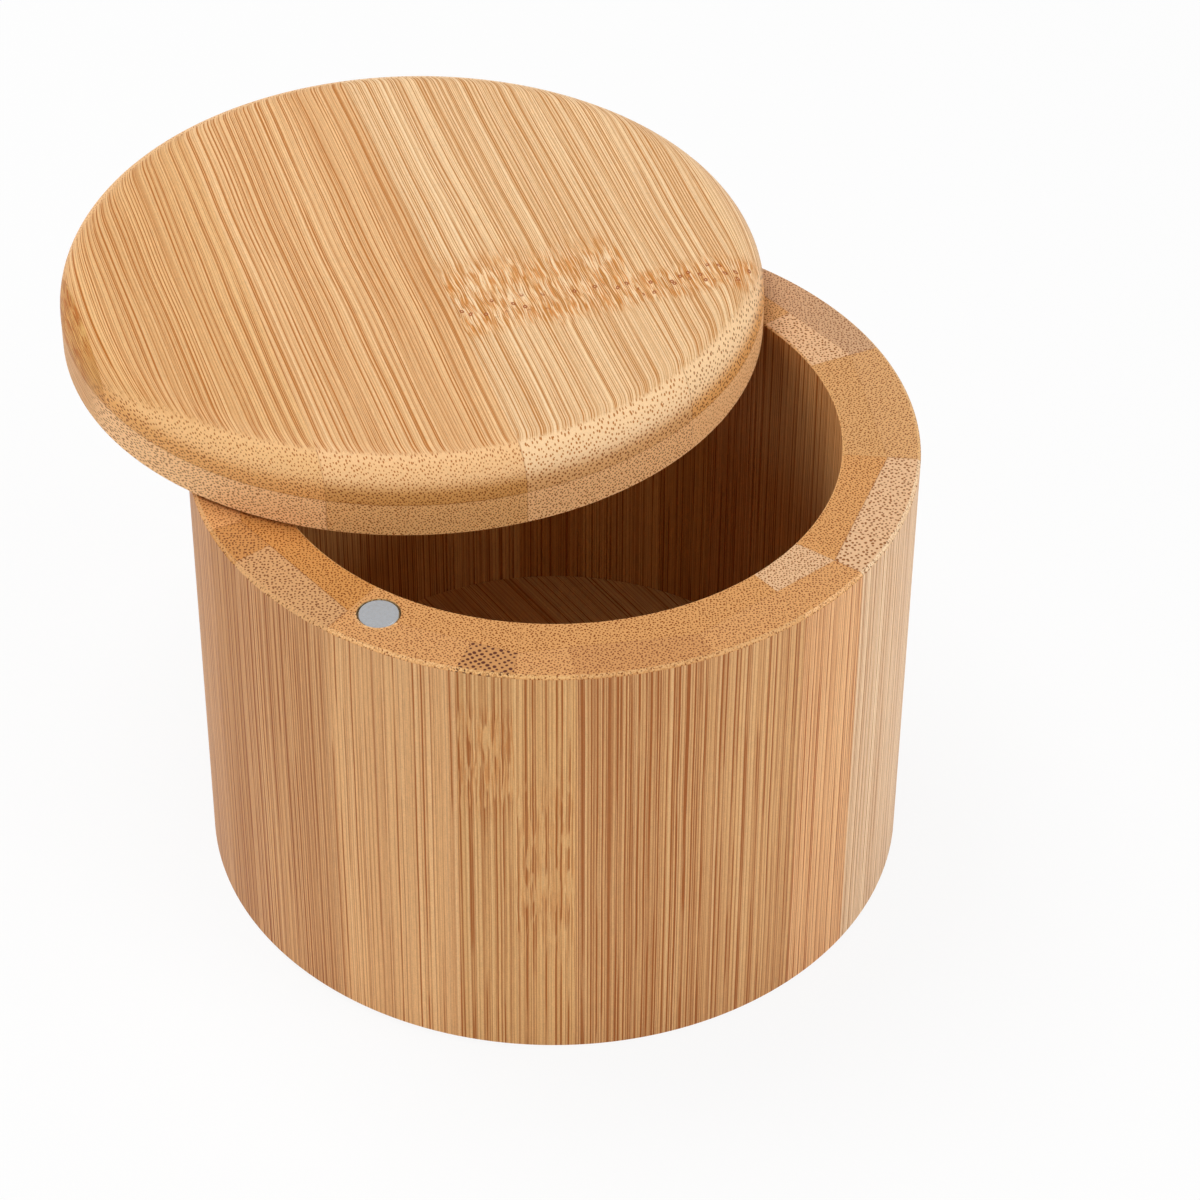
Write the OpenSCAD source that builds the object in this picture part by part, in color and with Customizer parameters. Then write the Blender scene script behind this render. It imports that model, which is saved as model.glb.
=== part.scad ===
// Round salt box with a swivel lid, in millimetres.
// The wall is a ring of mitred staves, each of two plies, turned round inside and out.
// The floor and the lid are two-ply discs of planks glued edge to edge.
// The lid turns on an upright pin at the back of the rim, and two magnets hold it shut.
// The origin is the centre of the underside, +Z is up, the pin is at +Y and the magnets at -Y.

/* [Wall] */
// Outer diameter of the box
body_d = 89; // [70:1:120]
// Height of the wall, from the underside to the rim
body_h = 60.5; // [40:0.5:90]
// Number of staves in the ring
staves = 12; // [8:1:16]
// Angle from the magnet to the nearest mitre joint
stave_turn = 4.7; // [4:0.1:9]
// Thickness of a stave's outer ply at its middle
outer_ply_t = 5.4; // [4.5:0.1:8]
// Thickness of a stave's inner ply at its middle
inner_ply_t = 4.1; // [3:0.1:8]
// Chamfer on the outer edge of the rim
rim_ease = 0.4; // [0.2:0.1:1]
// Chamfer on the inner edge of the rim
well_ease = 0.2; // [0.1:0.1:0.6]
// Chamfer on the outer edge of the underside
foot_ease = 0.5; // [0.2:0.1:1.5]

/* [Floor] */
// Thickness of the floor's lower ply
floor_lower_t = 4.6; // [3:0.1:7]
// Thickness of the floor's upper ply
floor_upper_t = 4.6; // [3:0.1:7]
// Direction of the floor's planks, anticlockwise from +X
floor_grain = 155; // [0:1:180]
// Number of planks across the floor
floor_planks = 3; // [2:1:3]
// Distance from the floor's centre to the middle of its planks
floor_shift = -3; // [-5:0.5:5]
// Glue clearance all round the floor
floor_fit = 0.05; // [0.02:0.01:0.2]

/* [Lid] */
// How far the lid's edge lies inside the wall's outer face when shut
lid_inset = 0.5; // [0:0.1:1.5]
// Thickness of the lid's lower ply
lid_lower_t = 4.7; // [3.5:0.1:7]
// Thickness of the lid's upper ply
lid_upper_t = 5.2; // [3.5:0.1:8]
// Radius of the round on the lid's top edge
lid_round = 5.2; // [1:0.1:7]
// Chamfer on the lid's bottom edge
lid_ease = 0.3; // [0.1:0.1:0.8]
// Running gap between the rim and the lid
lid_gap = 0.2; // [0.1:0.05:0.5]
// Direction of the lid's planks when shut, anticlockwise from +X
lid_grain = 4; // [0:1:180]
// Number of planks across the lid
lid_planks = 4; // [2:1:4]
// Distance from the lid's centre to the middle of its planks
lid_shift = 1.6; // [-5:0.2:5]

/* [Planks] */
// Width of a plank in the floor and the lid
plank_w = 23; // [18:0.5:26]

/* [Magnets] */
// Diameter of a magnet
magnet_d = 5; // [3:0.5:6]
// Thickness of a magnet
magnet_t = 3; // [1:0.5:4]
// Chamfer on a magnet's edges
magnet_ease = 0.2; // [0.1:0.05:0.3]
// Glue clearance round a magnet
magnet_fit = 0.1; // [0.02:0.01:0.2]

/* [Pin] */
// Diameter of the pivot pin
pin_d = 3; // [2:0.5:4]
// Length of the pin pressed into the wall
pin_in_wall = 14; // [8:1:25]
// Length of the pin that stands above the rim
pin_above = 6.5; // [4:0.5:7.5]
// Running clearance between the pin and the lid's bore, all round
pin_fit = 0.05; // [0.02:0.01:0.1]
// Clearance over the pin's top end
pin_end_gap = 0.5; // [0.2:0.1:1]
// Chamfer on the pin's ends
pin_ease = 0.3; // [0.1:0.1:0.5]
// How far the pin and the magnets lie inside the middle of the wall
pin_inset = 0.85; // [0:0.05:1]

/* [Pose] */
// Angle by which the lid stands open
lid_open = 45.5; // [0:0.5:360]

/* [Hidden] */
body_r = body_d / 2;
well_r = body_r - outer_ply_t - inner_ply_t;
stave_angle = 360 / staves;
half_slope = tan(stave_angle / 2);
ply_face = body_r - outer_ply_t;
floor_t = floor_lower_t + floor_upper_t;
floor_r = well_r - floor_fit;
lid_r = body_r - lid_inset;
lid_t = lid_lower_t + lid_upper_t;
lid_z = body_h + lid_gap;
pin_r = pin_d / 2;
pin_circle = (body_r + well_r) / 2 - pin_inset;
magnet_r = magnet_d / 2;
// Reach of a cutting shape past the surface that it cuts
past = 1;
far = body_r + past;
smooth = 180;

pale = [0.91, 0.75, 0.53];
honey = [0.87, 0.67, 0.43];
tan_wood = [0.81, 0.61, 0.39];
steel = [0.70, 0.71, 0.72];
nickel = [0.66, 0.68, 0.71];
tones = [honey, tan_wood, pale];

function two_digits(i) = str(i < 10 ? "0" : "", i);
function names(stem, count) = [for (i = [1:count]) str(stem, two_digits(i))];
function tone(i) = tones[i % len(tones)];
// Angle of the middle of stave i, where stave 1 holds the magnet
function stave_mid(i) = -90 - stave_turn + (i - 0.5) * stave_angle;
// Joint after plank i of a disc, measured across the planks from the disc's centre
function joint_y(i, count, shift) = shift + (i - count / 2) * plank_w;

// The whole wall, as one turned ring
module wall_ring() {
    rotate_extrude($fn = smooth)
        polygon([
            [well_r, 0],
            [body_r - foot_ease, 0],
            [body_r, foot_ease],
            [body_r, body_h - rim_ease],
            [body_r - rim_ease, body_h],
            [well_r + well_ease, body_h],
            [well_r, body_h - well_ease]
        ]);
}

// Upright prism over one stave's outline, long enough to cut the whole wall
module stave_prism(i) {
    rotate(stave_mid(i))
        translate([0, 0, -past])
            linear_extrude(body_h + 2 * past)
                children();
}

// Mitred outline of an outer ply, from the glue line outwards
module outer_outline() {
    polygon([
        [ply_face, -ply_face * half_slope],
        [far, -far * half_slope],
        [far, far * half_slope],
        [ply_face, ply_face * half_slope]
    ]);
}

// Mitred outline of an inner ply, from the centre to the glue line
module inner_outline() {
    polygon([
        [0, 0],
        [ply_face, -ply_face * half_slope],
        [ply_face, ply_face * half_slope]
    ]);
}

// Blind pocket that opens upwards, with its floor at z = 0
module magnet_pocket(depth) {
    cylinder(r = magnet_r + magnet_fit, h = depth, $fn = smooth);
}

module magnet_disc() {
    rotate_extrude($fn = smooth)
        polygon([
            [0, 0],
            [magnet_r - magnet_ease, 0],
            [magnet_r, magnet_ease],
            [magnet_r, magnet_t - magnet_ease],
            [magnet_r - magnet_ease, magnet_t],
            [0, magnet_t]
        ]);
}

// What is drilled into the rim: the magnet's pocket and the pin's hole
module rim_holes() {
    translate([0, -pin_circle, body_h - magnet_t])
        magnet_pocket(magnet_t + past);
    translate([0, pin_circle, body_h - pin_in_wall])
        cylinder(r = pin_r, h = pin_in_wall + past, $fn = smooth);
}

module outer_stave(i) {
    color(tone(i))
        difference() {
            intersection() {
                wall_ring();
                stave_prism(i) outer_outline();
            }
            rim_holes();
        }
}

module inner_stave(i) {
    color(tone(i + 1))
        difference() {
            intersection() {
                wall_ring();
                stave_prism(i) inner_outline();
            }
            rim_holes();
        }
}

// Slab of plank i between two heights, along +X before it is turned to the grain.
// The first and the last plank run out to the disc's edge.
module plank_slab(i, count, shift, z_low, z_high) {
    y_low = i == 1 ? -far : joint_y(i - 1, count, shift);
    y_high = i == count ? far : joint_y(i, count, shift);
    translate([-far, y_low, z_low])
        cube([2 * far, y_high - y_low, z_high - z_low]);
}

module floor_disc() {
    cylinder(r = floor_r, h = floor_t, $fn = smooth);
}

module floor_lower_plank(i) {
    color(tone(i))
        intersection() {
            floor_disc();
            rotate(floor_grain) plank_slab(i, floor_planks, floor_shift, -past, floor_lower_t);
        }
}

module floor_upper_plank(i) {
    color(tone(i + 2))
        intersection() {
            floor_disc();
            rotate(floor_grain) plank_slab(i, floor_planks, floor_shift, floor_lower_t, floor_t + past);
        }
}

// Half section of the lid: flat below, with a large round on its top edge
module lid_section() {
    difference() {
        intersection() {
            square([lid_r, lid_t]);
            union() {
                square([lid_r - lid_round, lid_t]);
                square([lid_r, lid_t - lid_round]);
                translate([lid_r - lid_round, lid_t - lid_round])
                    circle(r = lid_round, $fn = smooth);
            }
        }
        polygon([
            [lid_r - lid_ease - past, -past],
            [lid_r + past, -past],
            [lid_r + past, lid_ease + past]
        ]);
    }
}

// The whole lid as one turned disc on z = 0, drilled for its magnet and the pin
module lid_blank() {
    difference() {
        rotate_extrude($fn = smooth) lid_section();
        translate([0, -pin_circle, magnet_t])
            mirror([0, 0, 1])
                magnet_pocket(magnet_t + past);
        translate([0, pin_circle, -past])
            cylinder(r = pin_r + pin_fit, h = past + pin_above - lid_gap + pin_end_gap, $fn = smooth);
    }
}

// Lifts a piece of the lid onto the rim and swings it open about the pin
module swing() {
    translate([0, pin_circle, lid_z])
        rotate(-lid_open)
            translate([0, -pin_circle, 0])
                children();
}

module lid_lower_plank(i) {
    color(tone(i + 1))
        swing()
            intersection() {
                lid_blank();
                rotate(lid_grain) plank_slab(i, lid_planks, lid_shift, -past, lid_lower_t);
            }
}

module lid_upper_plank(i) {
    color(tone(i))
        swing()
            intersection() {
                lid_blank();
                rotate(lid_grain) plank_slab(i, lid_planks, lid_shift, lid_lower_t, lid_t + past);
            }
}

module rim_magnet() {
    color(nickel)
        translate([0, -pin_circle, body_h - magnet_t])
            magnet_disc();
}

module lid_magnet() {
    color(nickel)
        swing()
            translate([0, -pin_circle, 0])
                magnet_disc();
}

module pivot_pin() {
    pin_l = pin_in_wall + pin_above;
    color(steel)
        translate([0, pin_circle, body_h - pin_in_wall])
            rotate_extrude($fn = smooth)
                polygon([
                    [0, 0],
                    [pin_r - pin_ease, 0],
                    [pin_r, pin_ease],
                    [pin_r, pin_l - pin_ease],
                    [pin_r - pin_ease, pin_l],
                    [0, pin_l]
                ]);
}

for (i = [1:staves])
    outer_stave(i);
for (i = [1:staves])
    inner_stave(i);
for (i = [1:floor_planks])
    floor_lower_plank(i);
for (i = [1:floor_planks])
    floor_upper_plank(i);
for (i = [1:lid_planks])
    lid_lower_plank(i);
for (i = [1:lid_planks])
    lid_upper_plank(i);
rim_magnet();
lid_magnet();
pivot_pin();
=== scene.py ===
import math
import random

import bpy
from mathutils import Matrix, Vector

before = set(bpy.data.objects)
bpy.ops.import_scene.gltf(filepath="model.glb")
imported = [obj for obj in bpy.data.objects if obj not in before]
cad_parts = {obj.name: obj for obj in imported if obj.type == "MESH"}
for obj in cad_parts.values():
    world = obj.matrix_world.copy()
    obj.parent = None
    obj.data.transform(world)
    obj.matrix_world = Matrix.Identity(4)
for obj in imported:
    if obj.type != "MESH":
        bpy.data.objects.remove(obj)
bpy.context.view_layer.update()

# ---------------------------------------------------------------- sizes, in millimetres, as in the source
MM = 0.001
STAVES = 12
STAVE_ANGLE = 30.0
STAVE_TURN = 4.7
GLUE_CIRCLE = 39.1
BODY_R = 44.5
BODY_H = 60.5
WELL_R = 35.0
PIN_CIRCLE = 38.9
POCKET_R = 2.6
LID_OPEN = 45.5
LID_GRAIN = 4.0
LID_R = 44.0
LID_Z = 60.7
LID_LOWER_T = 4.7
LID_UPPER_T = 5.2
LID_T = LID_LOWER_T + LID_UPPER_T
LID_SHIFT = 1.6
LID_PLANKS = 4
FLOOR_GRAIN = 155.0
FLOOR_LOWER_T = 4.6
FLOOR_SHIFT = -3.0
FLOOR_PLANKS = 3
PLANK_W = 23.0
# so far away that it doesn't show
FAR = 1000.0


def linear(r, g, b):
    """An sRGB colour, 0 to 255, as Blender's linear RGBA."""
    def channel(c):
        return c / 255 / 12.92 if c <= 10 else ((c / 255 + 0.055) / 1.055) ** 2.4
    return channel(r), channel(g), channel(b), 1.0


# ---------------------------------------------------------------- node trees
class Graph:
    """Short ways to add nodes to one tree. An input is a number, a colour or another node's socket."""

    def __init__(self, tree):
        self.tree = tree

    def feed(self, socket, value):
        if isinstance(value, bpy.types.NodeSocket):
            self.tree.links.new(value, socket)
        else:
            socket.default_value = value

    def node(self, kind, inputs=None, **settings):
        made = self.tree.nodes.new(kind)
        for name, value in settings.items():
            setattr(made, name, value)
        for key, value in (inputs or {}).items():
            self.feed(made.inputs[key], value)
        return made

    def math(self, operation, *values, clamp=False):
        made = self.node("ShaderNodeMath", operation=operation, use_clamp=clamp)
        for socket, value in zip(made.inputs, values):
            self.feed(socket, value)
        return made.outputs[0]

    def add(self, a, b):
        return self.math("ADD", a, b)

    def times(self, a, b):
        return self.math("MULTIPLY", a, b)

    def step(self, value, low, high, start=0.0, end=1.0):
        """Smooth step of value from low to high, given as start to end."""
        made = self.node("ShaderNodeMapRange", {0: value, 1: low, 2: high, 3: start, 4: end},
                         interpolation_type="SMOOTHSTEP")
        return made.outputs[0]

    def vector(self, x=0.0, y=0.0, z=0.0):
        return self.node("ShaderNodeCombineXYZ", {0: x, 1: y, 2: z}).outputs[0]

    def parts(self, vector):
        return self.node("ShaderNodeSeparateXYZ", {0: vector}).outputs

    def noise(self, x, y, scale_x, scale_y, seed, detail=2.0, rough=0.5):
        """2-D noise, 0 to 1, whose features are about 1 / scale wide each way."""
        where = self.vector(self.add(self.times(x, scale_x), seed), self.times(y, scale_y))
        inputs = {"Vector": where, "Scale": 1.0, "Detail": detail, "Roughness": rough}
        return self.node("ShaderNodeTexNoise", inputs, noise_dimensions="2D").outputs[0]

    def grey(self, value):
        """A colour with three equal channels."""
        return self.vector(value, value, value)

    def mix(self, factor, a, b, blend="MIX"):
        made = self.node("ShaderNodeMix", data_type="RGBA", blend_type=blend)
        self.feed(made.inputs[0], factor)
        self.feed(made.inputs[6], a)
        self.feed(made.inputs[7], b)
        return made.outputs[2]

    def tinted(self, colour, tint):
        """The colour times the tint."""
        return self.mix(1.0, colour, tint, "MULTIPLY")

    def mix_value(self, factor, a, b):
        made = self.node("ShaderNodeMix", data_type="FLOAT")
        self.feed(made.inputs[0], factor)
        self.feed(made.inputs[2], a)
        self.feed(made.inputs[3], b)
        return made.outputs[0]


# ---------------------------------------------------------------- bamboo
# what a look may set, its socket in the group, and its usual value
LOOK_SOCKETS = {
    # colours: of the long grain, of the end grain, and what a dot and a line multiply them by
    "ground": ("Ground", (0.855, 0.527, 0.254, 1.0)),
    "end": ("End ground", (0.70, 0.36, 0.13, 1.0)),
    "dots": ("Dots", (0.33, 0.165, 0.04, 1.0)),
    "streak": ("Streak", (0.53, 0.285, 0.07, 1.0)),
    # end grain: millimetres between dots, their radius as a share of that, and how far they leave their rows
    "pitch": ("Pitch", 0.37),
    "dot": ("Dot", 0.25),
    "scatter": ("Scatter", 0.70),
    # long grain: millimetres between lines and across one, their change along the grain, strength and drift
    "spacing": ("Spacing", 0.82),
    "width": ("Width", 0.085),
    "along": ("Along", 0.020),
    "stripe": ("Stripe", 1.5),
    "sway": ("Sway", 1.3),
    # the node of the culm: its place along the grain, its reach both ways, its strength, the dashes to a
    # millimetre, the strength of its patches and of its small rings
    "node": ("Node", FAR),
    "before": ("Node before", 8.0),
    "after": ("Node after", 4.0),
    "knot": ("Knot", 1.0),
    "dash": ("Dash", 0.23),
    "patch": ("Patch", 1.0),
    "rings": ("Rings", 1.0),
    "glue": ("Glue", 0.14),
    "seed": ("Seed", 0.0),
}
# what a piece may set besides its look: its share of end grain, its glue lines, a lean of the lines, a mask of
# edges painted paler (partly real wear, partly a painted highlight), and a mask of a painted highlight on the lid's
# round
PIECE_SOCKETS = {"End": 0.0, "Joint": FAR, "Lean": 0.0, "Wear and highlight": 0.0, "Painted highlight": 0.0}

# the wood's noises: features to the millimetre along and across the grain, shift of the seed, detail, roughness
NOISES = {
    "waver": (0.16, 0.0, 3.1, 3.0, 0.5),
    "sway": (0.018, 0.05, 0.0, 2.0, 0.5),
    "sink": (0.026, 0.42, 7.3, 2.0, 0.5),
    "bend": (0.20, 0.60, 2.2, 1.0, 0.5),
    "fade": (1.0, 0.9, 1.9, 1.0, 0.5),
    "breaks": (0.9, 2.0, 6.5, 1.0, 0.5),
    "stroke": (1.0, 6.2, 5.5, 2.0, 0.5),
    "fine": (0.012, 3.4, 4.7, 3.0, 0.65),
    "broad": (0.009, 0.26, 9.1, 2.0, 0.5),
    "wash": (0.24, 0.45, 8.2, 1.0, 0.5),
    "fibre": (0.45, 6.5, 3.3, 1.0, 0.5),
}
# how far the noises move things, in millimetres; the bend is a share of the sway
WAVER_SIZE = 4.5
SINK_SIZE = 0.75
BEND_SHARE = 0.45

# a node's strength falls off over these shares of its reach
NODE_RISE = (-1.0, -0.45)
NODE_FALL = 0.5

# dots: their rows are turned by this cosine and sine; the least radius and how much chance adds; the radius, as a
# share, under the painted highlight on the lid's round; where the soft edge starts and ends, in radii
DOT_TURN = (0.80, 0.60)
DOT_LEAST, DOT_CHANCE = 0.75, 0.5
DOT_UNDER_PAINTED_HIGHLIGHT = 0.82
DOT_EDGE = (0.80, 1.25)

# lines: how uneven their spacing is; the same two values as for dots; where their soft edge is, in widths
LINE_SCATTER = 0.9
LINE_LEAST, LINE_CHANCE = 0.45, 0.55
LINE_EDGE = (0.50, 1.25)
# thin dark lines and light ones: spacing and width as shares of the main lines', shift of the seed, strength
THIN_SPACING, THIN_WIDTH, THIN_SHIFT, THIN_SHARE = 0.43, 0.75, 31.7, 0.55
LIGHT_SPACING, LIGHT_WIDTH, LIGHT_SHIFT, LIGHT_SHARE = 1.3, 0.9, 71.3, 0.85
# strength of the thin lines near a node
THIN_AT_NODE = 0.8
# steps of a noise, as low, high, start and end
FADE = (0.34, 0.54, 0.30, 1.0)
BREAKS = (0.40, 0.52)
FINE = (0.48, 0.72, 0.0, 0.32)
BROAD = (0.30, 0.70, 0.20, 0.0)
WASH = (0.42, 0.62)
DARK_STROKE = (0.50, 0.57)
BARE_STROKE = (0.38, 0.47, 1.0, 0.0)

# small rings on a node's line: how often they come along and across, their edges, which ones show, and how
# far from the line, in millimetres
RING_SCALE = (0.60, 0.75)
RING_INNER = (0.03, 0.07)
RING_OUTER = (0.18, 0.25, 1.0, 0.0)
RING_PUPIL = (0.03, 0.06, 1.0, 0.0)
RING_CHOSEN = (0.42, 0.48)
RING_BAND = (1.2, 2.2, 1.0, 0.0)

# what the ground is multiplied by
WASH_TINT = (0.88, 0.68, 0.42, 1.0)
PALE_TINT = (1.03, 1.10, 1.22, 1.0)
ORANGE_TINT = (0.68, 0.34, 0.09, 1.0)
RING_TINT = (0.38, 0.12, 0.01, 1.0)
GLUE_TINT = (0.26, 0.11, 0.03, 1.0)
# paler edges: partly real wear, partly a painted highlight where an edge would catch the light
WEAR_AND_HIGHLIGHT_TINT = (1.06, 1.08, 1.10, 1.0)
# painted highlight on the lid's round: the long-grain ground, a shade paler, in place of the darker end grain
PAINTED_HIGHLIGHT_TINT = (1.01, 0.99, 0.98, 1.0)
# and how much of it shows
WASH_SHARE = 0.42
BARE_SHARE = 0.75
STROKE_LEAST, STROKE_PATCH = 0.38, 0.50
RING_SHARE = 0.9

# a surface shows dots where the grain leaves it steeply, by the cosine of the angle between grain and normal
DOTTED = (0.23, 0.39)
# dots are this much paler under the painted highlight on the lid's round
DOTS_UNDER_PAINTED_HIGHLIGHT = 1.4
# a fine noise all over, and what it and the fibres do to the tone, to the edges painted paler (partly real wear,
# partly a painted highlight) and to the roughness
SPECK_SCALE = 5.0
SPECK_TONE = (0.3, 0.7, 0.93, 1.04)
FIBRE_TONE = (0.3, 0.7, -0.045, 0.045)
SPECK_WEAR_AND_HIGHLIGHT = (0.42, 0.58)
SPECK_ROUGHNESS = (0.25, 0.75, 0.44, 0.58)
# glue lines: where their soft edge is, in millimetres, and their strength on long grain
GLUE_EDGE = (0.03, 0.13, 1.0, 0.0)
GLUE_LONG = 0.08
# heights for the bump
LINE_HEIGHT, DOT_HEIGHT, SPECK_HEIGHT = -0.35, -0.5, 0.25


class Wood:
    """The inside of the bamboo group: fibre bundles run along u, so they show as dots on end grain and as lines
    along it. v runs across the plank and w through it, in millimetres."""

    def __init__(self, tree):
        self.g = g = Graph(tree)
        self.given = g.node("NodeGroupInput").outputs
        self.u, self.v, self.w = g.parts(self.given["Grain"])
        self.off, self.near = self.culm_node()
        self.v_now, self.v_line, self.w_now = self.drift()
        # strokes and breaks of the lines near a node
        dashes = g.times(self.u, self.given["Dash"])
        self.breaks = g.step(self.noise("breaks", dashes, self.v), *BREAKS)
        self.stroke = self.noise("stroke", dashes, self.v_line)

    def noise(self, kind, x, y):
        """One of the noises, 0 to 1."""
        scale_x, scale_y, shift, detail, rough = NOISES[kind]
        seed = shift if kind == "waver" else self.g.add(self.given["Seed"], shift)
        return self.g.noise(x, y, scale_x, scale_y, seed, detail, rough)

    def shifted(self, kind, size):
        """A noise at the piece's own place, as a shift both ways."""
        return self.g.times(self.g.add(self.noise(kind, self.u, self.v), -0.5), size)

    def culm_node(self):
        """How far a point is past the node, which crosses the plank on a wavering line, and how near, 0 to 1."""
        g, given = self.g, self.given
        waver = g.times(g.add(self.noise("waver", self.v, 0.0), -0.5), WAVER_SIZE)
        off = g.math("SUBTRACT", g.math("SUBTRACT", self.u, given["Node"]), waver)
        before = g.step(off, *(g.times(given["Node before"], share) for share in NODE_RISE))
        after = g.step(off, g.times(given["Node after"], NODE_FALL), given["Node after"], 1.0, 0.0)
        return off, g.math("MULTIPLY", g.times(before, after), given["Knot"], clamp=True)

    def drift(self):
        """v and w of the bundles, which drift slowly, and v of the lines, which lean, and bend near a node."""
        g, given = self.g, self.given
        v_now = g.add(self.v, self.shifted("sway", given["Sway"]))
        bend = self.shifted("bend", g.times(given["Sway"], BEND_SHARE))
        v_line = g.add(g.add(v_now, given["Lean"]), g.times(bend, self.near))
        return v_now, v_line, g.add(self.w, self.shifted("sink", SINK_SIZE))

    def dots(self):
        """End grain: one dot to a bundle."""
        g, given = self.g, self.given
        c, s = DOT_TURN
        turned = g.vector(g.add(g.times(self.v_now, c), g.times(self.w_now, s)),
                          g.add(g.times(self.w_now, c), g.times(self.v_now, -s)), given["Seed"])
        inputs = {"Vector": turned, "Scale": g.math("DIVIDE", 1.0, given["Pitch"]), "Randomness": given["Scatter"]}
        cells = g.node("ShaderNodeTexVoronoi", inputs, voronoi_dimensions="2D", feature="F1")
        chance = g.parts(cells.outputs["Color"])[0]
        radius = g.times(given["Dot"], g.add(g.times(chance, DOT_CHANCE), DOT_LEAST))
        # smaller dots under the painted highlight on the lid's round
        radius = g.times(radius, g.mix_value(given["Painted highlight"], 1.0, DOT_UNDER_PAINTED_HIGHLIGHT))
        return g.step(cells.outputs["Distance"], *(g.times(radius, share) for share in DOT_EDGE), 1.0, 0.0)

    def lines(self, spacing, width, shift):
        """Long grain: thin lines where bundles are cut lengthways, of uneven strength."""
        g = self.g
        inputs = {"W": g.add(g.add(self.v_line, self.given["Seed"]), shift), "Randomness": LINE_SCATTER,
                  "Scale": g.math("DIVIDE", 1.0, spacing)}
        cells = g.node("ShaderNodeTexVoronoi", inputs, voronoi_dimensions="1D")
        away = g.times(cells.outputs["Distance"], spacing)
        chance = g.parts(cells.outputs["Color"])[0]
        return g.times(g.step(away, *(g.times(width, share) for share in LINE_EDGE), 1.0, 0.0),
                       g.add(g.times(chance, LINE_CHANCE), LINE_LEAST))

    def stripes(self):
        """All the dark lines: main ones, thin ones between them, and a fine noise."""
        g, given = self.g, self.given
        spacing, width = given["Spacing"], given["Width"]
        fade = g.step(self.noise("fade", g.times(self.u, given["Along"]), self.v), *FADE)
        main = g.times(self.lines(spacing, width, 0.0), g.mix_value(self.near, fade, self.breaks))
        thin = self.lines(g.times(spacing, THIN_SPACING), g.times(width, THIN_WIDTH), THIN_SHIFT)
        thin = g.times(thin, g.mix_value(self.near, THIN_SHARE, g.times(self.breaks, THIN_AT_NODE)))
        fine = g.step(self.noise("fine", self.u, self.v_line), *FINE)
        return g.math("MULTIPLY", g.add(g.add(main, thin), fine), given["Stripe"], clamp=True)

    def node_rings(self):
        """Masks of the small rings on a node's line, and of their middles."""
        g = self.g
        scale_u, scale_v = RING_SCALE
        inputs = {"Vector": g.vector(g.times(self.off, scale_u), g.times(self.v, scale_v)), "Scale": 1.0,
                  "Randomness": LINE_SCATTER}
        cells = g.node("ShaderNodeTexVoronoi", inputs, voronoi_dimensions="2D", feature="F1")
        away = cells.outputs["Distance"]
        ring = g.times(g.step(away, *RING_INNER), g.step(away, *RING_OUTER))
        chosen = g.step(g.parts(cells.outputs["Color"])[1], *RING_CHOSEN)
        band = g.times(g.step(g.math("ABSOLUTE", self.off), *RING_BAND), self.given["Rings"])
        return (g.times(g.times(ring, chosen), band),
                g.times(g.times(g.step(away, *RING_PUPIL), chosen), band))

    def long_grain(self, stripes):
        """Colour of the long grain: bands, the node's patches and strokes, light and dark lines, rings."""
        g, given = self.g, self.given
        ground, near, patch = given["Ground"], self.near, given["Patch"]
        tint = g.tinted(ground, given["Streak"])
        colour = g.mix(g.step(self.noise("broad", self.u, self.v_now), *BROAD), ground, tint)
        wash = g.times(g.step(self.noise("wash", self.u, self.v), *WASH), g.times(near, patch))
        colour = g.mix(g.times(wash, WASH_SHARE), colour, g.tinted(ground, WASH_TINT))
        pale = g.tinted(ground, PALE_TINT)
        spacing, width = g.times(given["Spacing"], LIGHT_SPACING), g.times(given["Width"], LIGHT_WIDTH)
        light = self.lines(spacing, width, LIGHT_SHIFT)
        colour = g.mix(g.times(light, LIGHT_SHARE), colour, pale)
        bare = g.times(g.step(self.stroke, *BARE_STROKE), near)
        colour = g.mix(g.times(bare, g.times(patch, BARE_SHARE)), colour, pale)
        dark = g.times(g.step(self.stroke, *DARK_STROKE), near)
        dark = g.times(dark, g.add(g.times(patch, STROKE_PATCH), STROKE_LEAST))
        colour = g.mix(dark, colour, g.tinted(ground, ORANGE_TINT))
        colour = g.mix(stripes, colour, tint)
        ring, pupil = self.node_rings()
        colour = g.mix(pupil, colour, pale)
        return g.mix(g.times(ring, RING_SHARE), colour, g.tinted(ground, RING_TINT))

    def end_grain(self, dots):
        """Colour of the end grain. On the lid's round a painted highlight puts the long-grain ground and softer
        dots in place of the darker end grain.
        """
        g, given = self.g, self.given
        # painted highlight: on the lid's round the ground is the long grain's, not the darker end grain's
        ground = g.mix(given["Painted highlight"], given["End ground"], g.tinted(given["Ground"], PAINTED_HIGHLIGHT_TINT))
        softer = g.grey(g.mix_value(given["Painted highlight"], 1.0, DOTS_UNDER_PAINTED_HIGHLIGHT))
        return g.mix(dots, ground, g.tinted(ground, g.tinted(given["Dots"], softer)))

    def build(self):
        """The group's colour, roughness and height."""
        g, given = self.g, self.given
        dots, stripes = self.dots(), self.stripes()
        dotted = g.step(given["End"], *DOTTED)
        colour = g.mix(dotted, self.long_grain(stripes), self.end_grain(dots))

        inputs = {"Vector": given["Grain"], "Scale": SPECK_SCALE, "Detail": 2.0}
        speck = g.node("ShaderNodeTexNoise", inputs).outputs[0]
        fibre = g.step(self.noise("fibre", self.u, self.v_line), *FIBRE_TONE)
        tone = g.add(g.step(speck, *SPECK_TONE), g.mix_value(dotted, fibre, 0.0))
        colour = g.tinted(colour, g.grey(tone))
        glue = g.times(g.step(given["Joint"], *GLUE_EDGE), g.mix_value(dotted, GLUE_LONG, given["Glue"]))
        colour = g.mix(glue, colour, g.tinted(given["Ground"], GLUE_TINT))
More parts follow.
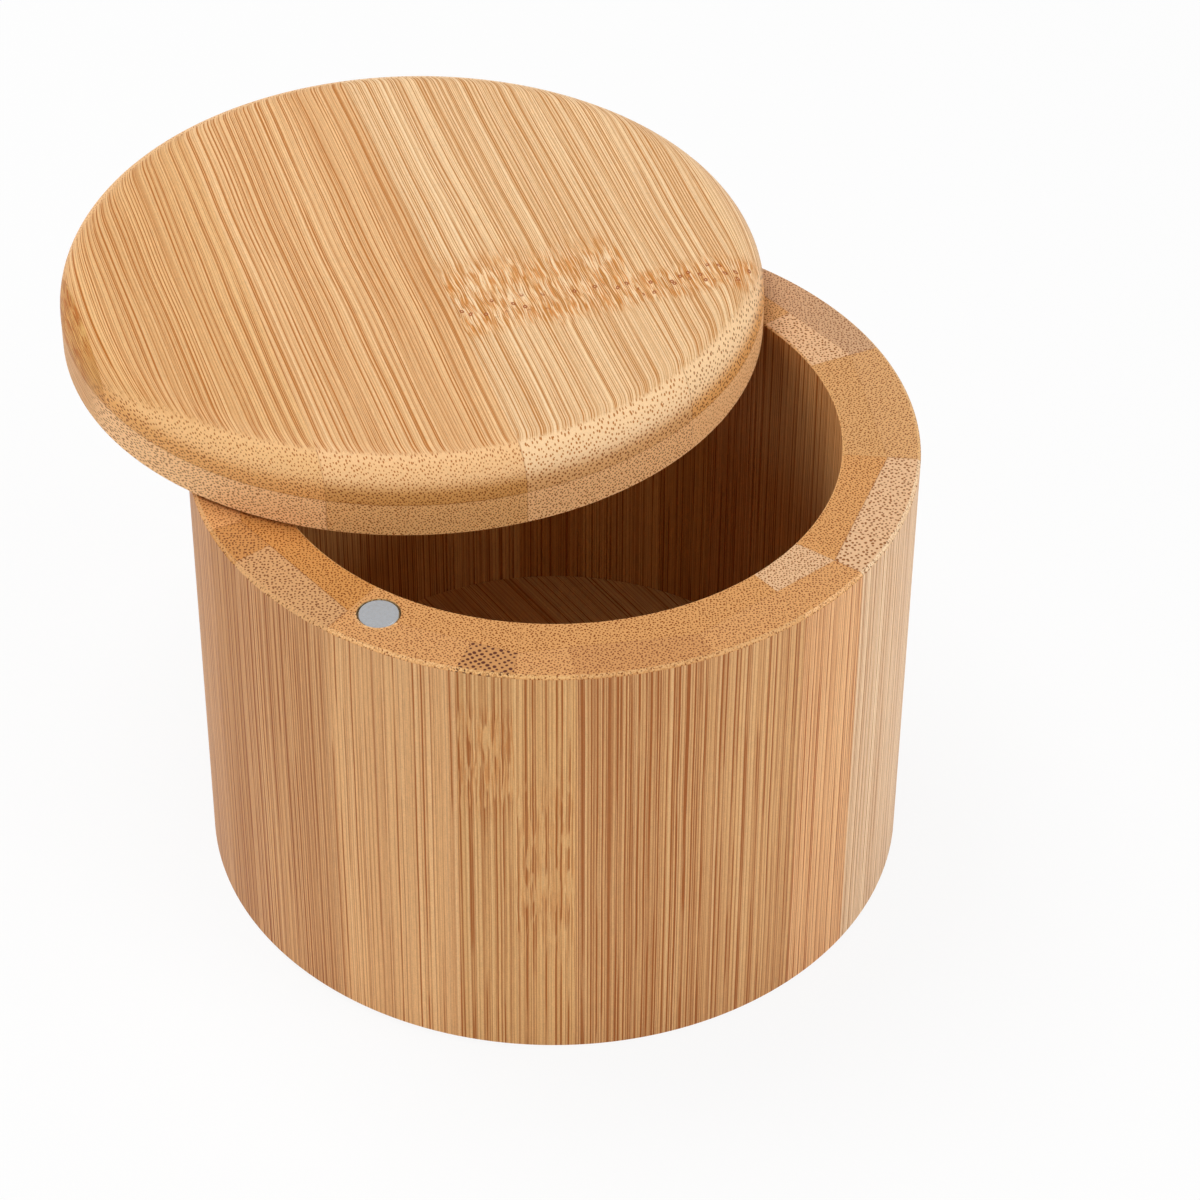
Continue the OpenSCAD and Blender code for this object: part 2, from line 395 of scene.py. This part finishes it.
        # edges painted paler: partly real wear, broken up by the speck noise, partly a painted highlight
        wear_and_highlight = g.times(given["Wear and highlight"], g.step(speck, *SPECK_WEAR_AND_HIGHLIGHT))
        colour = g.mix(wear_and_highlight, colour, g.tinted(given["Ground"], WEAR_AND_HIGHLIGHT_TINT))

        pores = g.mix_value(dotted, g.times(stripes, LINE_HEIGHT), g.times(dots, DOT_HEIGHT))
        g.node("NodeGroupOutput", {
            "Color": colour,
            "Roughness": g.step(speck, *SPECK_ROUGHNESS),
            "Height": g.add(pores, g.times(speck, SPECK_HEIGHT))})


def bamboo_group():
    """The node group that all the wood shares."""
    tree = bpy.data.node_groups.new("bamboo", "ShaderNodeTree")
    face = tree.interface
    face.new_socket("Grain", in_out="INPUT", socket_type="NodeSocketVector")
    for name, value in list(PIECE_SOCKETS.items()) + list(LOOK_SOCKETS.values()):
        kind = "NodeSocketFloat" if isinstance(value, float) else "NodeSocketColor"
        face.new_socket(name, in_out="INPUT", socket_type=kind).default_value = value
    face.new_socket("Color", in_out="OUTPUT", socket_type="NodeSocketColor")
    face.new_socket("Roughness", in_out="OUTPUT", socket_type="NodeSocketFloat")
    face.new_socket("Height", in_out="OUTPUT", socket_type="NodeSocketFloat")
    Wood(tree).build()
    return tree


BAMBOO = bamboo_group()


def look(ground, seed, **rest):
    """A full look: what isn't given has its usual value."""
    made = {key: value for key, (_, value) in LOOK_SOCKETS.items()}
    made.update(ground=ground, seed=seed, **rest)
    return made


# steep sides that run along the grain count as this near to end grain
STEEP_END = (0.2, 0.7, 0.08, 0.0)
# the joint of two strips in one piece is fainter than a glue line, as if it were this far away
STRIP_AWAY = 0.05
WOOD_BUMP = {"Strength": 0.35, "Distance": 0.00005}
SATIN, DULL = 0.20, 0.08


def in_plank(g, turn, centre, upright):
    """The place in the piece's own millimetres, along, across and through the grain, and the share of end grain."""
    coordinates = g.node("ShaderNodeTexCoord")
    angle = math.radians(turn)
    c, s = math.cos(angle), math.sin(angle)
    x0, y0, z0 = (part / MM for part in centre)
    place = g.node("ShaderNodeMapping", {
        "Vector": coordinates.outputs["Object"],
        "Location": (-(c * x0 + s * y0), s * x0 - c * y0, -z0),
        "Rotation": (0.0, 0.0, -angle),
        "Scale": (1.0 / MM, 1.0 / MM, 1.0 / MM)}, vector_type="POINT")
    x, y, z = g.parts(place.outputs[0])
    normal = coordinates.outputs["Normal"]
    axis = (0.0, 0.0, 1.0) if upright else (c, s, 0.0)
    along = g.node("ShaderNodeVectorMath", {0: normal, 1: axis}, operation="DOT_PRODUCT")
    end = g.math("ABSOLUTE", along.outputs["Value"])
    if upright:
        return (z, y, x), end
    steep = g.step(g.math("ABSOLUTE", g.parts(normal)[2]), *STEEP_END)
    return (x, y, z), g.add(end, steep)


def two_looks(g, v, split, here, there):
    """The look of each side of v = split."""
    past = g.math("GREATER_THAN", v, split)
    values = {}
    for key, value in here.items():
        blend = g.mix_value if isinstance(value, float) else g.mix
        values[key] = value if value == there[key] else blend(past, value, there[key])
    return values


def bamboo(name, turn, centre, upright, planes, here, split=None, there=None, strip_line=True,
           lean=None, wear_and_highlight=None, painted_highlight=None, specular=SATIN):
    """Material of one piece. turn is the angle of its own x axis in degrees, and upright is true where the grain is
    vertical. planes are its glue lines as (v, w, distance). there is the look past v = split, with a faint line
    between if strip_line is true. lean adds a mask that leans the lines. The edge mask paints edges paler, partly
    real wear and partly a painted highlight. The last mask paints a highlight on the lid's round."""
    material = bpy.data.materials.new(name)
    material.use_nodes = True
    tree = material.node_tree
    tree.nodes.clear()
    g = Graph(tree)
    (u, v, w), end = in_plank(g, turn, centre, upright)
    joint = None
    for pv, pw, distance in planes:
        away = g.math("ABSOLUTE", g.add(g.add(g.times(v, pv), g.times(w, pw)), -distance))
        joint = away if joint is None else g.math("MINIMUM", joint, away)
    values = here
    if there is not None:
        values = two_looks(g, v, split, here, there)
        if strip_line:
            away = g.add(g.math("ABSOLUTE", g.add(v, -split)), STRIP_AWAY)
            joint = g.math("MINIMUM", joint, away)
    inputs = {LOOK_SOCKETS[key][0]: value for key, value in values.items()}
    inputs.update({"Grain": g.vector(u, v, w), "End": end, "Joint": joint})
    for socket, mask in (("Lean", lean), ("Wear and highlight", wear_and_highlight), ("Painted highlight", painted_highlight)):
        if mask:
            inputs[socket] = mask(g, u, v, w)
    group = g.node("ShaderNodeGroup", node_tree=BAMBOO)
    for socket, value in inputs.items():
        g.feed(group.inputs[socket], value)
    bump = g.node("ShaderNodeBump", {"Height": group.outputs["Height"], **WOOD_BUMP})
    shader = g.node("ShaderNodeBsdfPrincipled", {
        "Base Color": group.outputs["Color"], "Roughness": group.outputs["Roughness"],
        "Normal": bump.outputs["Normal"]})
    shader.inputs["Specular IOR Level"].default_value = specular
    g.feed(g.node("ShaderNodeOutputMaterial").inputs["Surface"], shader.outputs[0])
    return material


def dress(name, material):
    """Gives a CAD node its material."""
    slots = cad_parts[name].data.materials
    slots.clear()
    slots.append(material)


# tones of the long grain
PALE = linear(254, 216, 167)
HONEY = linear(238, 189, 132)
GOLD = linear(248, 201, 145)
AMBER = linear(243, 194, 134)
ORANGE = linear(236, 185, 123)
TAN = linear(229, 177, 119)
BROWN = linear(212, 156, 98)
RUSSET = linear(218, 165, 95)
DUSK = linear(222, 168, 112)
CREAM = linear(250, 216, 174)
STRAW = linear(242, 190, 131)
SUN = linear(248, 194, 137)
# tones of the end grain: of the wall, and of the lid's edge
END_PALE = linear(235, 190, 146)
END_TAN = linear(222, 168, 110)
END_HONEY = linear(224, 163, 101)
END_ORANGE = linear(214, 149, 81)
END_ASH = linear(211, 166, 125)
END_DARK = linear(213, 151, 91)
END_AMBER = linear(206, 143, 78)
END_SAND = linear(216, 163, 109)
END_UMBER = linear(207, 147, 88)
EDGE_CREAM = linear(248, 197, 141)
EDGE_SAND = linear(235, 181, 119)
EDGE_TAN = linear(228, 174, 115)
EDGE_GOLD = linear(231, 168, 98)
EDGE_AMBER = linear(213, 154, 86)
# tones inside the well
OCHRE = linear(250, 212, 150)
OCHRE_TAN = linear(243, 201, 136)
OCHRE_BROWN = linear(230, 182, 116)
OCHRE_PALE = linear(254, 226, 168)


def plank_joints(i, count, shift):
    """Glue lines on the two sides of plank i of a disc."""
    lines = []
    if i > 1:
        lines.append((1.0, 0.0, shift + (i - 1 - count / 2) * PLANK_W))
    if i < count:
        lines.append((1.0, 0.0, shift + (i - count / 2) * PLANK_W))
    return lines


# ---------------------------------------------------------------- lid
swing = math.radians(-LID_OPEN)
lid_centre = (PIN_CIRCLE * math.sin(swing) * MM, PIN_CIRCLE * (1.0 - math.cos(swing)) * MM, LID_Z * MM)
lid_turn = LID_GRAIN - LID_OPEN

# the first plank's outermost strip lies on a node of its own
EDGE_STRIP = -42.0
edge_strip = look(RUSSET, 11.3, pitch=0.33, end=END_ORANGE, node=-1.0, before=14.0, after=12.0,
                  stripe=1.2, rings=0.0)
upper = {
    1: dict(here=edge_strip, split=EDGE_STRIP, there=look(AMBER, 11.3, pitch=0.33, end=EDGE_GOLD),
            strip_line=False),
    2: dict(here=look(GOLD, 23.9, pitch=0.36, end=EDGE_AMBER, glue=0.4)),
    3: dict(here=look(PALE, 37.1, node=14.6, before=14.0, after=6.0, pitch=0.44, end=EDGE_TAN, glue=0.4)),
    4: dict(here=look(PALE, 41.7, pitch=0.43, node=15.8, before=4.5, after=4.0,
                      dots=(0.25, 0.13, 0.045, 1.0), end=EDGE_GOLD, glue=0.3)),
}
lower = {
    1: dict(here=look(HONEY, 51.3, pitch=0.33, end=EDGE_CREAM, glue=0.4)),
    2: dict(here=look(HONEY, 64.9, pitch=0.33, end=EDGE_SAND, glue=0.4)),
    3: dict(here=look(HONEY, 77.1, pitch=0.38, end=EDGE_CREAM)),
    4: dict(here=look(HONEY, 81.7, pitch=0.40, dot=0.22, dots=(0.55, 0.36, 0.20, 1.0), end=EDGE_CREAM)),
}


def lid_round_painted_highlight(g, u, v, w):
    """1 on the lid's round, where a painted highlight makes it paler than the end grain below it."""
    radius = g.math("SQRT", g.add(g.times(u, u), g.times(v, v)))
    return g.times(g.step(radius, LID_R - 5.1, LID_R - 3.6), g.step(w, LID_T - 4.0, LID_T - 2.0))


def lean_left(g, u, v, w):
    """Leans the lines of a left plank, so that none is cut almost flat where the lid's edge runs with the grain."""
    return g.add(w, -LID_T)


def lean_right(g, u, v, w):
    """The same for a right plank."""
    return g.math("SUBTRACT", LID_T, w)


for i in range(1, LID_PLANKS + 1):
    planes = plank_joints(i, LID_PLANKS, LID_SHIFT) + [(0.0, 1.0, LID_LOWER_T)]
    lean = lean_left if i <= LID_PLANKS / 2 else lean_right
    for stem, looks in (("lid_upper_plank", upper), ("lid_lower_plank", lower)):
        name = f"{stem}_{i:02d}"
        # the lid's round gets a painted highlight
        dress(name, bamboo(name, lid_turn, lid_centre, False, planes, lean=lean, painted_highlight=lid_round_painted_highlight, **looks[i]))

# ---------------------------------------------------------------- floor
chance = random.Random(5)
for i in range(1, FLOOR_PLANKS + 1):
    planes = plank_joints(i, FLOOR_PLANKS, FLOOR_SHIFT) + [(0.0, 1.0, FLOOR_LOWER_T)]
    for stem in ("floor_lower_plank", "floor_upper_plank"):
        name = f"{stem}_{i:02d}"
        tone = chance.choice((OCHRE_PALE, OCHRE_PALE, OCHRE))
        here = look(tone, chance.uniform(0, 90), spacing=1.1, stripe=1.0)
        dress(name, bamboo(name, FLOOR_GRAIN, (0.0, 0.0, 0.0), False, planes, here))

# ---------------------------------------------------------------- wall
WALL = {"sway": 0.5, "stripe": 1.15, "streak": (0.47, 0.25, 0.115, 1.0), "spacing": 0.85, "width": 0.115,
        "along": 0.045, "dash": 0.18, "rings": 0.0, "patch": 0.16}
SPARSE = {**WALL, "stripe": 1.0, "spacing": 1.10}
DENSE = {**WALL, "stripe": 1.35, "spacing": 0.68}
GLUED = {**WALL, "glue": 0.55}
# the patch of coarse end grain at the front, on a strip with a node
COARSE = {**WALL, "pitch": 0.66, "dot": 0.29, "dots": (0.16, 0.06, 0.02, 1.0), "scatter": 0.30,
          "end": END_UMBER, "node": 49.0, "before": 14.0, "after": 8.0}
# a long, faint node lower down, on the next strip
LOW_NODE = {**WALL, "node": 32.0, "before": 20.0, "after": 16.0, "knot": 0.7}
# the staves that the photograph shows; the others take plain looks by chance
outer = {
    1: dict(here=look(STRAW, 3.4, end=END_HONEY, **SPARSE), split=4.9, there=look(ORANGE, 8.8, **COARSE)),
    2: dict(here=look(ORANGE, 12.6, pitch=0.38, end=END_HONEY, **LOW_NODE), split=-4.6,
            there=look(TAN, 17.2, pitch=0.38, end=END_DARK, **DENSE), strip_line=False),
    3: dict(here=look(TAN, 22.0, end=END_HONEY, **WALL), split=1.2,
            there=look(SUN, 27.9, end=END_HONEY, **WALL)),
    4: dict(here=look(CREAM, 31.5, pitch=0.60, dot=0.26, end=END_PALE, **GLUED), split=-4.6,
            there=look(CREAM, 36.0, pitch=0.50, end=END_PALE, **GLUED)),
    5: dict(here=look(ORANGE, 44.1, end=END_TAN, **WALL)),
    6: dict(here=look(ORANGE, 49.7, end=END_ASH, **WALL)),
    11: dict(here=look(DUSK, 61.3, end=END_HONEY, **WALL)),
    12: dict(here=look(BROWN, 71.8, pitch=0.42, dots=(0.26, 0.13, 0.04, 1.0), end=END_AMBER, **GLUED),
             split=-4.8,
             there=look(DUSK, 75.5, pitch=0.46, dots=(0.30, 0.16, 0.06, 1.0), end=END_SAND, **GLUED)),
}
inner = {
    1: dict(here=look(OCHRE, 4.4, end=END_HONEY, **WALL)),
    2: dict(here=look(OCHRE, 13.1, pitch=0.38, end=END_HONEY, **WALL)),
    3: dict(here=look(OCHRE, 23.8, end=END_HONEY, **WALL), split=1.5,
            there=look(OCHRE, 28.1, end=END_PALE, **WALL)),
    4: dict(here=look(ORANGE, 32.9, end=END_HONEY, **WALL)),
    5: dict(here=look(ORANGE, 46.3, end=END_TAN, **WALL)),
    6: dict(here=look(ORANGE, 52.7, pitch=0.46, end=END_PALE, **WALL), split=1.0,
            there=look(TAN, 55.2, end=END_TAN, **WALL)),
    12: dict(here=look(OCHRE_TAN, 78.5, pitch=0.38, end=END_ORANGE, **WALL)),
}


def wall_radius(g, v, w):
    """The distance to the upright axis, in millimetres."""
    return g.math("SQRT", g.add(g.times(v, v), g.times(w, w)))


def rim_edge_wear_and_highlight(g, u, v, w):
    """1 on the outer edge of the rim, painted pale: partly real wear, partly a painted highlight on its small
    chamfer.
    """
    outside = g.step(wall_radius(g, v, w), BODY_R - 0.48, BODY_R - 0.38)
    return g.times(outside, g.step(u, BODY_H - 0.40, BODY_H - 0.25))


def well_edge_wear_and_highlight(g, u, v, w):
    """1 on the inner edge of the rim, painted pale too: partly real wear, partly a painted highlight."""
    inside = g.step(wall_radius(g, v, w), WELL_R + 0.12, WELL_R + 0.24, 1.0, 0.0)
    return g.times(inside, g.step(u, BODY_H - 0.30, BODY_H - 0.18))


def magnet_ring_highlight_and_rim_wear(g, u, v, w):
    """1 on the outer edge of the rim, partly real wear and partly a painted highlight, and on a thin ring round the
    magnet's pocket, a painted highlight.
    """
    turn = math.radians(STAVE_TURN - STAVE_ANGLE / 2)
    dv, dw = g.add(v, -PIN_CIRCLE * math.sin(turn)), g.add(w, -PIN_CIRCLE * math.cos(turn))
    away = wall_radius(g, dv, dw)
    ring = g.step(away, POCKET_R + 0.18, POCKET_R + 0.35, 1.0, 0.0)
    ring = g.times(ring, g.step(u, BODY_H - 0.3, BODY_H - 0.1))
    return g.math("MAXIMUM", ring, rim_edge_wear_and_highlight(g, u, v, w))


def plain_stave(tones):
    """A stave of two strips whose tones and grain are drawn by chance."""
    tones = chance.sample(tones, 2)
    ends = chance.sample((END_TAN, END_HONEY, END_ORANGE), 2)
    here = look(tones[0], chance.uniform(0, 90), end=ends[0], **WALL)
    split = chance.uniform(-6, 6)
    seed = chance.uniform(0, 90)
    there = look(tones[1], seed, end=ends[1], pitch=chance.uniform(0.36, 0.50), **WALL)
    return dict(here=here, split=split, there=there)


half = math.radians(STAVE_ANGLE / 2)
mitres = [(math.cos(half), -math.sin(half), 0.0), (math.cos(half), math.sin(half), 0.0)]
planes = mitres + [(0.0, 1.0, GLUE_CIRCLE)]
# each ply: its name, looks, tones, its edge mask of real wear and painted highlight, and its specular level
plies = (("outer_stave", outer, (HONEY, ORANGE, TAN, BROWN), rim_edge_wear_and_highlight, SATIN),
         ("inner_stave", inner, (OCHRE, OCHRE_TAN, OCHRE_BROWN), well_edge_wear_and_highlight, DULL))
for i in range(1, STAVES + 1):
    middle = -90 - STAVE_TURN + (i - 0.5) * STAVE_ANGLE
    for stem, looks, tones, wear_and_highlight, specular in plies:
        name = f"{stem}_{i:02d}"
        # drawn for every stave, also where a look of its own takes its place
        plain = plain_stave(tones)
        # the stave with the magnet also gets a painted highlight ring round the pocket
        if name == "outer_stave_01":
            wear_and_highlight = magnet_ring_highlight_and_rim_wear
        dress(name, bamboo(name, middle, (0.0, 0.0, 0.0), True, planes, wear_and_highlight=wear_and_highlight, specular=specular,
                           **looks.get(i, plain)))


# ---------------------------------------------------------------- metal
def metal(name, colour, rough, scratches):
    """Plated metal with a fine uneven tone. scratches is the scale of its noise, to the metre."""
    material = bpy.data.materials.new(name)
    material.use_nodes = True
    tree = material.node_tree
    tree.nodes.clear()
    g = Graph(tree)
    where = g.node("ShaderNodeTexCoord").outputs["Object"]
    inputs = {"Vector": where, "Scale": scratches, "Detail": 4.0, "Roughness": 0.7}
    grain = g.node("ShaderNodeTexNoise", inputs).outputs[0]
    dull = g.step(grain, 0.3, 0.7, rough - 0.03, rough + 0.06)
    dark = [part * 0.91 for part in colour]
    tone = g.mix(g.step(grain, 0.35, 0.65, 0.0, 0.6), linear(*colour), linear(*dark))
    bump = g.node("ShaderNodeBump", {"Height": grain, "Strength": 0.05, "Distance": 0.00002})
    shader = g.node("ShaderNodeBsdfPrincipled", {
        "Base Color": tone, "Roughness": dull, "Normal": bump.outputs["Normal"]})
    shader.inputs["Metallic"].default_value = 1.0
    g.feed(g.node("ShaderNodeOutputMaterial").inputs["Surface"], shader.outputs[0])
    return material


nickel = metal("nickel plate", (172, 174, 177), 0.20, 2600.0)
dress("rim_magnet", nickel)
dress("lid_magnet", nickel)
dress("pivot_pin", metal("pin steel", (190, 192, 194), 0.28, 1400.0))


# ---------------------------------------------------------------- studio floor, world and lamps
FLOOR_GREY = 0.92
# the share of the floor that is plain white to the rays that show the background; the rest holds the shadow
FLOOR_WHITE = 0.90
FLOOR_HALF = 3.0
FLOOR_DROP = 0.00005
WORLD_LIGHT = 0.24
WHITE = (1.0, 1.0, 1.0, 1.0)


def background_rays(g):
    """1 for the rays that show the background: camera, glossy and transmission rays."""
    path = g.node("ShaderNodeLightPath").outputs
    seen = g.math("MAXIMUM", path["Is Camera Ray"], path["Is Glossy Ray"])
    return g.math("MAXIMUM", seen, path["Is Transmission Ray"])


def studio_floor():
    """A wide plane just under the part, white to the background and dull to the light, which catches the shadow."""
    material = bpy.data.materials.new("studio floor")
    material.use_nodes = True
    material.node_tree.nodes.clear()
    g = Graph(material.node_tree)
    diffuse = g.node("ShaderNodeBsdfDiffuse", {"Color": (FLOOR_GREY, FLOOR_GREY, FLOOR_GREY, 1.0)})
    glow = g.node("ShaderNodeEmission", {"Color": WHITE, "Strength": 1.0})
    blend = g.node("ShaderNodeMixShader", {
        0: g.times(background_rays(g), FLOOR_WHITE), 1: diffuse.outputs[0], 2: glow.outputs[0]})
    g.feed(g.node("ShaderNodeOutputMaterial").inputs["Surface"], blend.outputs[0])

    mesh = bpy.data.meshes.new("studio_floor")
    a = FLOOR_HALF
    mesh.from_pydata([(-a, -a, 0), (a, -a, 0), (a, a, 0), (-a, a, 0)], [], [(0, 1, 2, 3)])
    mesh.materials.append(material)
    floor = bpy.data.objects.new("studio_floor", mesh)
    floor.location = (0.0, 0.0, -FLOOR_DROP)
    bpy.context.scene.collection.objects.link(floor)


def studio_world():
    """White to the background and dim to the light."""
    world = bpy.data.worlds.new("studio")
    bpy.context.scene.world = world
    world.use_nodes = True
    world.node_tree.nodes.clear()
    g = Graph(world.node_tree)
    strength = g.mix_value(background_rays(g), WORLD_LIGHT, 1.0)
    sky = g.node("ShaderNodeBackground", {"Color": WHITE, "Strength": strength})
    g.feed(g.node("ShaderNodeOutputWorld").inputs["Surface"], sky.outputs[0])


def lamp(name, place, aim, size, power):
    """An area lamp, in metres and watts."""
    data = bpy.data.lights.new(name, "AREA")
    data.shape = "RECTANGLE"
    data.size, data.size_y = size
    data.energy = power
    made = bpy.data.objects.new(name, data)
    made.location = place
    made.rotation_euler = (Vector(aim) - Vector(place)).to_track_quat("-Z", "Y").to_euler()
    bpy.context.scene.collection.objects.link(made)


studio_floor()
studio_world()
lamp("key", (-0.30, 0.05, 0.86), (0.0, 0.0, 0.04), (0.50, 0.50), 4.8)
lamp("front fill", (-0.35, -0.95, 0.22), (0.0, 0.0, 0.03), (0.9, 0.35), 3.3)
lamp("right fill", (0.85, 0.10, 0.30), (0.0, 0.0, 0.03), (0.5, 0.5), 3.5)

# ---------------------------------------------------------------- camera, fitted to the photograph
LENS = 117.7
AIM = Vector((0.01144, -0.00817, 0.0453))
AWAY = 0.4766
FORWARD = Vector((-0.38671, 0.65913, -0.64498)).normalized()
ROLL = math.radians(0.516)

camera_data = bpy.data.cameras.new("camera")
camera_data.sensor_width = 36.0
camera_data.lens = LENS
camera_data.clip_start = 0.01
camera = bpy.data.objects.new("camera", camera_data)
camera.location = AIM - FORWARD * AWAY
level = FORWARD.cross(Vector((0, 0, 1))).normalized()
right = (level * math.cos(ROLL) + level.cross(FORWARD) * math.sin(ROLL)).normalized()
axes = (right, right.cross(FORWARD), -FORWARD)
camera.rotation_euler = Matrix(axes).transposed().to_euler()
bpy.context.scene.collection.objects.link(camera)
bpy.context.scene.camera = camera
bpy.context.scene.view_settings.view_transform = "Standard"
